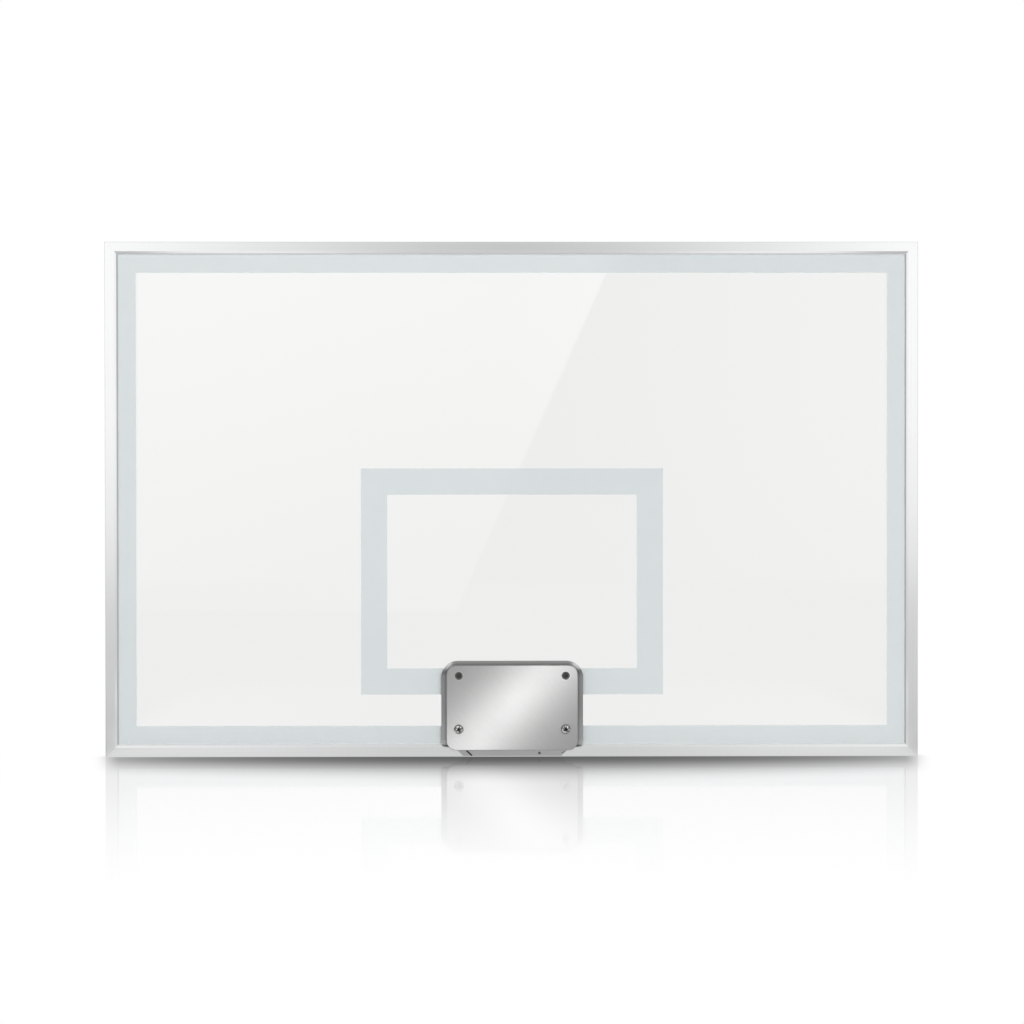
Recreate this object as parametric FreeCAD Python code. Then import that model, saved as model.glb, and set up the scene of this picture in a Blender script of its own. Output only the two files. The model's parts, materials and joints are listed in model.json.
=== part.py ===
import FreeCAD, Part
import math
import os

# Basketball backboard: a tempered glass pane in a mitred aluminium frame, with a goal mount at its foot.
# Millimetres, +Z up, the playing side faces -Y. The origin is the centre of the four mounting holes on the
# back, in the plane that they bolt against.

# Frame
board_width = 1524.0
board_height = 965.2
frame_depth = 45.0

# Extruded rail
rail_face = 21.7
rail_wall = 2.5
rail_edge_radius = 1.2
front_lip = 5.0
lip_bevel_width = 4.0
lip_bevel_drop = 2.5

# Glass pane
glass_thickness = 12.0
glass_edge_inset = 10.0
glass_arris = 1.0

# Gasket
gasket_leg = 2.3
gasket_base = 3.0
gasket_sight = 2.4
gasket_tip = 1.0

# Glazing blocks
block_length = 100.0
block_place_share = 0.25

# Printed markings
marking_thickness = 0.2
border_band = 33.4
target_width = 567.0
target_height = 424.6
target_line = 49.2
target_foot = 116.1

# Corner keys
key_end = 14.0
key_clearance = 0.3
key_tip_chamfer = 3.0

# Rear corner plates and their mounting holes
corner_plate_thickness = 5.0
corner_plate_end = 26.0
corner_plate_margin = 2.5
corner_plate_radius = 6.0
gusset_radius = 10.0
mount_hole_radius = 6.5
mount_edge = 14.5
mount_nut_across = 19.0
mount_nut_height = 10.0
mount_nut_gap = 2.8
mount_nut_chamfer = 1.5
mount_thread_radius = 6.0

# Countersunk corner screws
corner_screw_radius = 3.0
corner_screw_head_radius = 6.0
corner_screw_socket = 4.0
corner_screw_socket_depth = 2.4
corner_screw_tip_gap = 5.8
corner_screw_near = 52.0
corner_screw_pitch = 54.0

# Goal mount, front
goal_pitch_x = 200.0
goal_pitch_z = 100.0
goal_side_margin = 23.0
goal_upper_margin = 19.6
goal_lower_margin = 39.5
goal_plate_thickness = 6.0
goal_plate_radius = 18.0
goal_plate_chamfer = 0.9
goal_plate_reveal = 0.5
goal_hole_chamfer = 0.4
goal_base_thickness = 12.0
goal_base_head = 7.4
goal_base_side = 9.9
goal_base_foot = 11.9
goal_base_upper_radius = 31.0
goal_base_lower_radius = 9.0
goal_base_edge = 3.0
goal_base_lift = 1.6
goal_shoulder_gap = 0.5
goal_foot_width = 184.0
goal_foot_end = 3.0
drain_slot_offset = 80.5
drain_slot_length = 14.0
drain_slot_width = 2.4
drain_slot_depth = 5.0
drain_slot_tilt = 45.0

# Small screw in the bottom bevel of the goal base
set_screw_offset = 51.0
set_screw_radius = 2.5
set_screw_recess = 1.0
set_screw_engagement = 4.0
set_screw_socket = 2.5
set_screw_socket_depth = 2.0

# Pads on both faces of the glass
pad_margin = 5.0
pad_gap = 1.5
pad_radius = 18.0
rear_pad_thickness = 3.0

# Through-glass hardware
fit_clearance = 0.2
bush_radius = 7.25
bush_flange_radius = 12.0
bush_flange = 4.0
rim_thread_radius = 5.0
rim_thread_depth = 16.0
grommet_wall = 4.0
goal_screw_radius = 5.0
goal_screw_clearance = 0.5
goal_screw_head_radius = 8.75
goal_screw_head_height = 5.5
goal_screw_crown_radius = 4.6
goal_screw_socket = 6.0
goal_screw_socket_depth = 3.2
dome_share = 0.72
goal_screw_tail = 2.0
goal_washer_radius = 10.5
goal_washer_thickness = 2.0
goal_nut_across = 17.0
goal_nut_height = 9.0
goal_nut_collar = 1.6
goal_nut_collar_radius = 7.2

# Rear bracket
bracket_thickness = 6.0
bracket_edge = 19.0
bracket_radius = 12.0
bracket_bend = 3.0
bracket_crown_width = 130.0
bracket_bolt_pitch_x = 80.0
bracket_bolt_pitch_z = 90.0
bracket_bolt_radius = 5.5

# One overrun for every cut
cut_overrun = 2.0

# Depths, from the front face of the frame
glass_front = front_lip + gasket_leg
glass_rear = glass_front + glass_thickness
channel_rear = glass_rear + gasket_leg
chamber_front = channel_rear + rail_wall
chamber_rear = frame_depth - rail_wall
key_front = chamber_front + key_clearance
key_rear = chamber_rear - key_clearance
corner_screw_tip = key_front + corner_screw_tip_gap
bracket_front = glass_rear + rear_pad_thickness
bracket_rear = bracket_front + bracket_thickness
mount_plane = frame_depth + corner_plate_thickness
plate_seat = -goal_base_thickness
plate_face = plate_seat - goal_plate_thickness
bevel_middle = -(goal_base_edge + goal_base_thickness) / 2
nut_front = bracket_rear + goal_washer_thickness
nut_rear = nut_front + goal_nut_height
collar_rear = nut_rear + goal_nut_collar

# Distances in from the outer edge of the frame
sight_edge = rail_face + gasket_sight
gasket_edge = glass_edge_inset - gasket_base
screw_line = rail_face / 2
mount_inset = rail_face + mount_nut_gap + mount_nut_across / 2
corner_screw_far = corner_screw_near + corner_screw_pitch
corner_screw_places = (corner_screw_near, corner_screw_far)
key_leg = corner_screw_far + key_end
corner_plate_leg = corner_screw_far + corner_plate_end

# Heights and places of the goal mount
board_bottom = -board_height / 2
base_bottom = board_bottom + goal_base_lift
plate_bottom = base_bottom + goal_base_foot
lower_height = plate_bottom + goal_lower_margin
upper_height = lower_height + goal_pitch_z
plate_top = upper_height + goal_upper_margin
base_top = plate_top + goal_base_head
base_shoulder = board_bottom + rail_face + goal_shoulder_gap
plate_half_width = goal_pitch_x / 2 + goal_side_margin
base_half_width = plate_half_width + goal_base_side
seat_bottom = plate_bottom - goal_plate_reveal
seat_top = plate_top + goal_plate_reveal
seat_half_width = plate_half_width + goal_plate_reveal
seat_shoulder = base_shoulder + goal_base_side - goal_plate_reveal
goal_height = (lower_height + upper_height) / 2
pad_bottom = board_bottom + sight_edge + pad_gap
pad_top = base_top - pad_margin
pad_half_width = base_half_width - pad_margin
bracket_half_width = goal_pitch_x / 2 + bracket_edge
bracket_top = upper_height + bracket_edge
set_screw_height = (base_bottom + seat_bottom) / 2
upper_holes = [(sign * goal_pitch_x / 2, upper_height) for sign in (-1, 1)]
lower_holes = [(sign * goal_pitch_x / 2, lower_height) for sign in (-1, 1)]
goal_holes = upper_holes + lower_holes
sleeve_hole_radius = bush_radius + fit_clearance
glass_hole_radius = sleeve_hole_radius + grommet_wall
goal_hole_radius = goal_screw_radius + goal_screw_clearance

# The four sides of the frame, each a quarter turn on from the one before: span and distance from the centre
sides = {
    "top": (board_width, board_height / 2),
    "right": (board_height, board_width / 2),
    "bottom": (board_width, board_height / 2),
    "left": (board_height, board_width / 2),
}

# The four corners, by the signs of X and Z
corners = {
    "top_left": (-1, 1),
    "top_right": (1, 1),
    "bottom_left": (-1, -1),
    "bottom_right": (1, -1),
}

Vector = FreeCAD.Vector
x_axis = Vector(1, 0, 0)
y_axis = Vector(0, 1, 0)
z_axis = Vector(0, 0, 1)
origin = Vector(0, 0, 0)


def depth_to_y(depth):
    """Y of a depth measured from the front face of the frame."""
    return depth - mount_plane


def rounded_corner(before, corner, after, radius):
    """Start, middle and end of the arc that rounds a corner between two straight runs."""
    to_before = (before - corner).normalize()
    to_after = (after - corner).normalize()
    half_angle = to_before.getAngle(to_after) / 2
    reach = radius / math.tan(half_angle)
    bisector = (to_before + to_after).normalize()
    centre = corner + bisector * (radius / math.sin(half_angle))
    return corner + to_before * reach, centre - bisector * radius, corner + to_after * reach


def outline(points, place):
    """Closed wire through points (a, b, corner radius), with place(a, b) giving each its place in space."""
    flat = [Vector(a, b, 0) for a, b, radius in points]
    arcs = []
    for index, (a, b, radius) in enumerate(points):
        after = flat[(index + 1) % len(flat)]
        if radius:
            arcs.append(rounded_corner(flat[index - 1], flat[index], after, radius))
        else:
            arcs.append((flat[index], None, flat[index]))
    edges = []
    for index, (start, middle, end) in enumerate(arcs):
        if middle is not None:
            arc = Part.Arc(place(start.x, start.y), place(middle.x, middle.y), place(end.x, end.y))
            edges.append(arc.toShape())
        run_end = arcs[(index + 1) % len(arcs)][0]
        edges.append(Part.LineSegment(place(end.x, end.y), place(run_end.x, run_end.y)).toShape())
    return Part.Wire(edges)


def upright(depth):
    """Place for outlines in X and Z at one depth behind the front face of the frame."""
    return lambda x, z: Vector(x, depth_to_y(depth), z)


def rectangle(left, right, bottom, top, radius):
    """Points of a rectangle with all its corners rounded."""
    return [(left, bottom, radius), (right, bottom, radius), (right, top, radius), (left, top, radius)]


def slab(points, front, rear):
    """Solid of an upright outline between two depths."""
    face = Part.Face(outline(points, upright(front)))
    return face.extrude(y_axis * (rear - front))


def rod(radius, x, z, front, rear):
    """Round bar along Y between two depths."""
    return Part.makeCylinder(radius, rear - front, Vector(x, depth_to_y(front), z), y_axis)


def hole_set(spots, radius, front, rear):
    """Compound of round holes along Y between two depths."""
    return Part.makeCompound([rod(radius, x, z, front, rear) for x, z in spots])


def turned(sixths, radius):
    """Offset in X and Z of a point some sixths of a turn round a circle."""
    angle = sixths * math.pi / 3
    return Vector(radius * math.cos(angle), 0, radius * math.sin(angle))


def bar(x, z, front, rear, across):
    """Hexagonal bar along Y between two depths, from its width across flats."""
    corner_radius = across / math.sqrt(3)
    ring = [Vector(x, depth_to_y(front), z) + turned(step, corner_radius) for step in range(7)]
    return Part.Face(Part.makePolygon(ring)).extrude(y_axis * (rear - front))


def revolved(points, x, z):
    """Turned piece about an axis along Y, from (radius, depth) points of half its section."""
    ring = [Vector(x + radius, depth_to_y(depth), z) for radius, depth in points + points[:1]]
    face = Part.Face(Part.makePolygon(ring))
    return face.revolve(Vector(x, 0, z), y_axis, 360)


def around_frame(shape, turn):
    """Turn a piece made at the top side to another side of the frame."""
    shape.rotate(origin, y_axis, turn)
    return shape


def at_corner(shape, signs):
    """Mirror a piece made at the top right corner to another corner of the frame."""
    for sign, axis in zip(signs, (x_axis, z_axis)):
        if sign < 0:
            shape = shape.mirror(origin, axis)
    return shape


def corner_spot(a, b):
    """X and Z of a spot by its distances in from the right and the top edge of the frame."""
    return board_width / 2 - a, board_height / 2 - b


def mitred(points, span, half, cavity=None):
    """Run a side section (inset, depth) along the top side and mitre both its ends."""
    def at_end(inset, depth):
        return Vector(-span / 2, depth_to_y(depth), half - inset)

    wires = [outline(points, at_end)]
    if cavity:
        wires.append(outline(cavity, at_end))
    run = Part.Face(wires, "Part::FaceMakerBullseye").extrude(x_axis * span)
    reach = sight_edge + cut_overrun
    mitre = [
        (-span / 2, half, 0),
        (span / 2, half, 0),
        (span / 2 - reach, half - reach, 0),
        (-span / 2 + reach, half - reach, 0),
    ]
    return run.common(slab(mitre, -cut_overrun, mount_plane + cut_overrun))


def rail(span, half, turn, has_set_screw):
    """Extruded rail: front lip with a bevel, glazing channel, and a closed chamber behind it."""
    section = [
        (0, 0, rail_edge_radius),
        (rail_face - lip_bevel_width, 0, 0),
        (rail_face, lip_bevel_drop, 0),
        (rail_face, front_lip, 0),
        (rail_wall, front_lip, 0),
        (rail_wall, channel_rear, 0),
        (rail_face, channel_rear, 0),
        (rail_face, frame_depth, rail_edge_radius),
        (0, frame_depth, rail_edge_radius),
    ]
    chamber = rectangle(rail_wall, rail_face - rail_wall, chamber_front, chamber_rear, 0)
    solid = mitred(section, span, half, chamber)
    spots = [
        (sign * (span / 2 - place), half - screw_line) for place in corner_screw_places for sign in (-1, 1)
    ]
    holes = hole_set(spots, corner_screw_radius + fit_clearance, chamber_rear - cut_overrun, mount_plane)
    solid = around_frame(solid.cut(holes), turn)
    if has_set_screw:
        tap_radius = set_screw_radius + fit_clearance
        solid = solid.cut(rod(tap_radius, set_screw_offset, set_screw_height, -cut_overrun, front_lip))
    return solid


def gasket(span, half, turn):
    """U-section gasket round one edge of the glass, with lips that slope out past the rail."""
    section = [
        (gasket_edge, front_lip, 0),
        (rail_face, front_lip, 0),
        (sight_edge, glass_front - gasket_tip, 0),
        (sight_edge, glass_front, 0),
        (glass_edge_inset, glass_front, 0),
        (glass_edge_inset, glass_rear, 0),
        (sight_edge, glass_rear, 0),
        (sight_edge, glass_rear + gasket_tip, 0),
        (rail_face, channel_rear, 0),
        (gasket_edge, channel_rear, 0),
    ]
    return around_frame(mitred(section, span, half), turn)


def glazing_blocks(span, half, turn):
    """Two blocks between the channel floor and the gasket, one each side of the middle."""
    blocks = []
    for sign in (-1, 1):
        middle = sign * span * block_place_share
        points = rectangle(
            middle - block_length / 2, middle + block_length / 2, half - gasket_edge, half - rail_wall, 0
        )
        blocks.append(around_frame(slab(points, front_lip, channel_rear), turn))
    return blocks


def glass_pane():
    """Glass with its edges arrissed and four holes for the goal mount."""
    width = board_width - 2 * glass_edge_inset
    height = board_height - 2 * glass_edge_inset
    corner = Vector(-width / 2, depth_to_y(glass_front), -height / 2)
    pane = Part.makeBox(width, glass_thickness, height, corner)
    pane = pane.makeChamfer(glass_arris, pane.Edges)
    front = glass_front - cut_overrun
    return pane.cut(hole_set(goal_holes, glass_hole_radius, front, glass_rear + cut_overrun))


def printed_line(left, right, bottom, top, line):
    """Printed rectangle on the front of the glass, with a line of one width that stops at the glass holes."""
    printed_front = glass_front - marking_thickness
    outer = slab(rectangle(left, right, bottom, top, 0), printed_front, glass_front)
    inner_points = rectangle(left + line, right - line, bottom + line, top - line, 0)
    front = printed_front - cut_overrun
    rear = glass_front + cut_overrun
    line_only = outer.cut(slab(inner_points, front, rear))
    return line_only.cut(hole_set(goal_holes, glass_hole_radius, front, rear))


def border_marking():
    """Printed band along the sight edge of the gasket."""
    half_width = board_width / 2 - sight_edge
    half_height = board_height / 2 - sight_edge
    return printed_line(-half_width, half_width, -half_height, half_height, border_band)


def target_marking():
    """Printed target rectangle above and behind the goal mount."""
    bottom = board_bottom + target_foot
    return printed_line(-target_width / 2, target_width / 2, bottom, bottom + target_height, target_line)


def corner_key():
    """L-shaped key that fills the chambers of two rails where they meet, with tapered tips."""
    near = rail_wall + key_clearance
    far = rail_face - near
    section = [
        (near, near),
        (key_leg - key_tip_chamfer, near),
        (key_leg, near + key_tip_chamfer),
        (key_leg, far - key_tip_chamfer),
        (key_leg - key_tip_chamfer, far),
        (far, far),
        (far, key_leg - key_tip_chamfer),
        (far - key_tip_chamfer, key_leg),
        (near + key_tip_chamfer, key_leg),
        (near, key_leg - key_tip_chamfer),
    ]
    points = [(*corner_spot(a, b), 0) for a, b in section]
    tap_radius = corner_screw_radius + fit_clearance
    taps = hole_set(corner_screw_spots(), tap_radius, corner_screw_tip, mount_plane)
    return slab(points, key_front, key_rear).cut(taps)


def corner_screw_spots():
    """X and Z of the four screws at the top right corner."""
    along_top = [corner_spot(place, screw_line) for place in corner_screw_places]
    along_side = [corner_spot(screw_line, place) for place in corner_screw_places]
    return along_top + along_side


def countersunk(x, z, radius, head_radius, front, rear):
    """Countersunk screw, or the hole for one, with its head at the rear depth."""
    neck = rear - (head_radius - radius)
    section = [(0, front), (radius, front), (radius, neck), (head_radius, rear), (0, rear)]
    return revolved(section, x, z)


def corner_screws():
    """Countersunk socket screws at the top right corner, through plate and rail into the key."""
    screws = []
    socket_floor = mount_plane - corner_screw_socket_depth
    for x, z in corner_screw_spots():
        screw = countersunk(
            x, z, corner_screw_radius, corner_screw_head_radius, corner_screw_tip, mount_plane
        )
        socket = bar(x, z, socket_floor, mount_plane + cut_overrun, corner_screw_socket)
        screws.append(screw.cut(socket))
    return screws


def corner_plate():
    """Gusset plate on the back of a corner, with a countersunk hole for each screw and one mounting hole."""
    reach = 2 * mount_inset + mount_edge * math.sqrt(2) - rail_face
    section = [
        (corner_plate_margin, corner_plate_margin, corner_plate_radius),
        (corner_plate_leg, corner_plate_margin, corner_plate_radius),
        (corner_plate_leg, rail_face, corner_plate_radius),
        (reach, rail_face, gusset_radius),
        (rail_face, reach, gusset_radius),
        (rail_face, corner_plate_leg, corner_plate_radius),
        (corner_plate_margin, corner_plate_leg, corner_plate_radius),
    ]
    points = [(*corner_spot(a, b), radius) for a, b, radius in section]
    plate = slab(points, frame_depth, mount_plane)
    hole_radius = corner_screw_radius + fit_clearance
    head_radius = corner_screw_head_radius + fit_clearance
    holes = [
        countersunk(x, z, hole_radius, head_radius, frame_depth - cut_overrun, mount_plane)
        for x, z in corner_screw_spots()
    ]
    mount_x, mount_z = corner_spot(mount_inset, mount_inset)
    front = frame_depth - cut_overrun
    holes.append(rod(mount_hole_radius, mount_x, mount_z, front, mount_plane + cut_overrun))
    return plate.cut(Part.makeCompound(holes))


def mount_nut():
    """Square weld nut in front of the mounting hole at the top right corner."""
    x, z = corner_spot(mount_inset, mount_inset)
    half = mount_nut_across / 2
    front = frame_depth - mount_nut_height
    points = rectangle(x - half, x + half, z - half, z + half, mount_nut_chamfer)
    nut = slab(points, front, frame_depth)
    return nut.cut(rod(mount_thread_radius, x, z, front - cut_overrun, frame_depth + cut_overrun))


def goal_outline(grow):
    """Rounded rectangle about the goal plate, larger than it by a margin all round."""
    half_width = plate_half_width + grow
    return rectangle(-half_width, half_width, plate_bottom - grow, plate_top + grow, goal_plate_radius + grow)


def footed(foot, bottom, half_width, shoulder, top, lower_radius, upper_radius):
    """Outline that is wide above a shoulder and has a foot below it whose ends slant in by 45 degrees."""
    neck = foot + shoulder - bottom
    right = [
        (foot, bottom, 0),
        (neck, shoulder, 0),
        (half_width, shoulder, lower_radius),
        (half_width, top, upper_radius),
    ]
    left = [(-x, z, radius) for x, z, radius in reversed(right)]
    return right + left


def base_outline():
    """Outline of the goal base at its rear: wide above the bottom rail, with a foot on the rail's face."""
    radii = goal_base_lower_radius, goal_base_upper_radius
    return footed(goal_foot_width / 2, base_bottom, base_half_width, base_shoulder, base_top, *radii)


def seat_outline():
    """Outline of the face of the goal base that the goal plate lies on."""
    foot = goal_foot_width / 2 + seat_bottom - base_bottom - goal_foot_end
    neck = foot + seat_shoulder - seat_bottom
    radii = (seat_half_width - neck) / 2, goal_plate_radius + goal_plate_reveal
    return footed(foot, seat_bottom, seat_half_width, seat_shoulder, seat_top, *radii)


def tapered(rear_points, rear, front_points, front):
    """Solid between two like outlines at two depths, with straight sloping sides."""
    rear_wire = outline(rear_points, upright(rear))
    front_wire = outline(front_points, upright(front))
    return Part.makeLoft([rear_wire, front_wire], True, True)


def goal_base():
    """Bevelled base with its foot on the bottom rail, and a drain slot and a screw in its lower bevel."""
    bevel = tapered(base_outline(), -goal_base_edge, seat_outline(), plate_seat)
    base = slab(base_outline(), -goal_base_edge, 0).fuse(bevel).removeSplitter()
    front = plate_seat - cut_overrun
    base = base.cut(hole_set(upper_holes, sleeve_hole_radius, front, cut_overrun))
    base = base.cut(hole_set(lower_holes, goal_hole_radius, front, cut_overrun))
    screw_hole_radius = set_screw_radius + fit_clearance
    base = base.cut(rod(screw_hole_radius, set_screw_offset, set_screw_height, front, cut_overrun))
    slot_length = drain_slot_length / 2
    slot_width = drain_slot_width / 2
    slot_points = rectangle(-slot_length, slot_length, -slot_width, slot_width, 0)
    slot = slab(slot_points, front, bevel_middle + drain_slot_depth)
    slot.rotate(origin, y_axis, drain_slot_tilt)
    slot.translate(Vector(-drain_slot_offset, 0, set_screw_height))
    return base.cut(slot)


def bush_hole(x, z):
    """Hole in the goal plate for a bush, with a chamfered mouth."""
    radius = sleeve_hole_radius
    section = [
        (0, plate_face),
        (radius + goal_hole_chamfer, plate_face),
        (radius, plate_face + goal_hole_chamfer),
        (radius, plate_seat + cut_overrun),
        (0, plate_seat + cut_overrun),
    ]
    return revolved(section, x, z)


def goal_plate():
    """Stainless plate on the base, with a chamfered edge."""
    shoulder = plate_face + goal_plate_chamfer
    chamfered = tapered(goal_outline(0), shoulder, goal_outline(-goal_plate_chamfer), plate_face)
    plate = slab(goal_outline(0), shoulder, plate_seat).fuse(chamfered).removeSplitter()
    plate = plate.cut(group(bush_hole, upper_holes))
    front = plate_face - cut_overrun
    return plate.cut(hole_set(lower_holes, goal_hole_radius, front, plate_seat + cut_overrun))


def front_pad():
    """Rubber pad between the goal base and the printed face of the glass."""
    rear = glass_front - marking_thickness
    pad = slab(rectangle(-pad_half_width, pad_half_width, pad_bottom, pad_top, pad_radius), 0, rear)
    return pad.cut(hole_set(goal_holes, sleeve_hole_radius, -cut_overrun, rear + cut_overrun))


def rear_pad():
    """Rubber pad between the glass and the rear bracket."""
    points = rectangle(-bracket_half_width, bracket_half_width, pad_bottom, bracket_top, bracket_radius)
    pad = slab(points, glass_rear, bracket_front)
    front = glass_rear - cut_overrun
    return pad.cut(hole_set(goal_holes, sleeve_hole_radius, front, bracket_front + cut_overrun))


def rear_bracket():
    """Hat-section bracket: its brim clamps the glass and its crown bolts to the support."""
    brim_front = depth_to_y(bracket_front)
    brim_rear = depth_to_y(bracket_rear)
    crown = bracket_crown_width / 2
    inside = crown - bracket_thickness
    outer_bend = bracket_bend + bracket_thickness
    half_section = [
        (bracket_half_width, brim_rear, 0),
        (bracket_half_width, brim_front, 0),
        (inside, brim_front, outer_bend),
        (inside, -bracket_thickness, bracket_bend),
    ]
    crown_section = [(crown, 0, outer_bend), (crown, brim_rear, bracket_bend)]
    mirrored = [(-x, y, radius) for x, y, radius in reversed(half_section)]
    mirrored_crown = [(-x, y, radius) for x, y, radius in reversed(crown_section)]
    section = half_section + mirrored + mirrored_crown + crown_section
    wire = outline(section, lambda x, y: Vector(x, y, pad_bottom))
    bracket = Part.Face(wire).extrude(z_axis * (bracket_top - pad_bottom))
    points = rectangle(-bracket_half_width, bracket_half_width, pad_bottom, bracket_top, bracket_radius)
    bracket = bracket.common(slab(points, bracket_front, mount_plane))
    front = bracket_front - cut_overrun
    rear = mount_plane + cut_overrun
    bracket = bracket.cut(hole_set(upper_holes, sleeve_hole_radius, front, rear))
    bracket = bracket.cut(hole_set(lower_holes, goal_hole_radius, front, rear))
    bolts = [
        (x_sign * bracket_bolt_pitch_x / 2, goal_height + z_sign * bracket_bolt_pitch_z / 2)
        for x_sign in (-1, 1)
        for z_sign in (-1, 1)
    ]
    return bracket.cut(hole_set(bolts, bracket_bolt_radius, front, rear))


def rim_bush(x, z):
    """Bush from the face of the goal plate to its flange behind the bracket, with a blind threaded bore."""
    flange_rear = bracket_rear + bush_flange
    bore_end = plate_face + rim_thread_depth
    section = [
        (rim_thread_radius, plate_face),
        (bush_radius, plate_face),
        (bush_radius, bracket_rear),
        (bush_flange_radius, bracket_rear),
        (bush_flange_radius, flange_rear),
        (0, flange_rear),
        (0, bore_end),
        (rim_thread_radius, bore_end),
    ]
    return revolved(section, x, z)


def ring(inner, outer, x, z, front, rear):
    """Plain ring along Y between two depths."""
    return revolved([(inner, front), (outer, front), (outer, rear), (inner, rear)], x, z)


def goal_plate_screw(x, z):
    """Button-head screw with a hexagon socket, from the goal plate to behind its lock nut."""
    face = plate_face - goal_screw_head_height
    tip = collar_rear + goal_screw_tail
    run = goal_screw_head_radius - goal_screw_crown_radius
    section = [
        (goal_screw_head_radius, plate_face),
        (goal_screw_radius, plate_face),
        (goal_screw_radius, tip),
        (0, tip),
        (0, face),
        (goal_screw_crown_radius, face),
    ]
    chain = [Vector(x + radius, depth_to_y(depth), z) for radius, depth in section]
    dome_radius = goal_screw_crown_radius + run * dome_share
    dome_depth = plate_face - goal_screw_head_height * dome_share
    dome = Vector(x + dome_radius, depth_to_y(dome_depth), z)
    edges = [Part.LineSegment(a, b).toShape() for a, b in zip(chain, chain[1:])]
    edges.append(Part.Arc(chain[-1], dome, chain[0]).toShape())
    screw = Part.Face(Part.Wire(edges)).revolve(Vector(x, 0, z), y_axis, 360)
    return screw.cut(bar(x, z, face - cut_overrun, face + goal_screw_socket_depth, goal_screw_socket))


def goal_lock_nut(x, z):
    """Hexagon nut with a locking collar behind the bracket."""
    nut = bar(x, z, nut_front, nut_rear, goal_nut_across)
    nut = nut.fuse(rod(goal_nut_collar_radius, x, z, nut_rear, collar_rear))
    bore = goal_screw_radius + fit_clearance
    return nut.cut(rod(bore, x, z, nut_front - cut_overrun, collar_rear + cut_overrun))


def base_set_screw():
    """Socket screw through the lower bevel of the goal base into the lip of the bottom rail."""
    face = bevel_middle + set_screw_recess
    socket_floor = face + set_screw_socket_depth
    screw = rod(set_screw_radius, set_screw_offset, set_screw_height, face, set_screw_engagement)
    socket = bar(set_screw_offset, set_screw_height, face - cut_overrun, socket_floor, set_screw_socket)
    return screw.cut(socket)


def spacer_sleeve(x, z):
    """Steel sleeve that carries the clamping load from the goal base to the bracket, past the glass."""
    return ring(goal_hole_radius, bush_radius, x, z, 0, bracket_front)


def glass_grommet(x, z):
    """Rubber ring between the glass and the bush or sleeve."""
    return ring(sleeve_hole_radius, glass_hole_radius, x, z, glass_front, glass_rear)


def goal_washer(x, z):
    """Washer under a lock nut."""
    return ring(goal_hole_radius, goal_washer_radius, x, z, bracket_rear, nut_front)


def group(maker, spots):
    """One compound of separate solids, made at each spot."""
    return Part.makeCompound([maker(x, z) for x, z in spots])


def all_nodes():
    """Every piece by its node name."""
    nodes = {}
    blocks = {}
    for index, (side, (span, half)) in enumerate(sides.items()):
        turn = math.degrees(math.tau * index / len(sides))
        nodes[f"{side}_rail"] = rail(span, half, turn, side == "bottom")
        nodes[f"gasket_{side}"] = gasket(span, half, turn)
        blocks[side] = glazing_blocks(span, half, turn)
    nodes["setting_blocks"] = Part.makeCompound(blocks.pop("bottom"))
    nodes["edge_blocks"] = Part.makeCompound([block for pair in blocks.values() for block in pair])
    nodes["glass_pane"] = glass_pane()
    nodes["border_marking"] = border_marking()
    nodes["target_marking"] = target_marking()
    screws = []
    nuts = []
    for corner, signs in corners.items():
        nodes[f"corner_key_{corner}"] = at_corner(corner_key(), signs)
        nodes[f"corner_plate_{corner}"] = at_corner(corner_plate(), signs)
        screws.extend(at_corner(screw, signs) for screw in corner_screws())
        nuts.append(at_corner(mount_nut(), signs))
    nodes["corner_screws"] = Part.makeCompound(screws)
    nodes["mount_nuts"] = Part.makeCompound(nuts)
    nodes["goal_base"] = goal_base()
    nodes["goal_plate"] = goal_plate()
    nodes["front_pad"] = front_pad()
    nodes["rear_pad"] = rear_pad()
    nodes["rear_bracket"] = rear_bracket()
    nodes["rim_bushes"] = group(rim_bush, upper_holes)
    nodes["spacer_sleeves"] = group(spacer_sleeve, lower_holes)
    nodes["glass_grommets"] = group(glass_grommet, goal_holes)
    nodes["goal_plate_screws"] = group(goal_plate_screw, lower_holes)
    nodes["goal_washers"] = group(goal_washer, lower_holes)
    nodes["goal_lock_nuts"] = group(goal_lock_nut, lower_holes)
    nodes["base_set_screw"] = base_set_screw()
    return nodes


os.makedirs("parts", exist_ok=True)
for name, shape in all_nodes().items():
    state = "valid" if shape.isValid() else "BROKEN"
    print(name, len(shape.Solids), "solids", round(shape.Volume), "mm3", state)
    shape.exportStep(f"parts/{name}.step")
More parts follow.
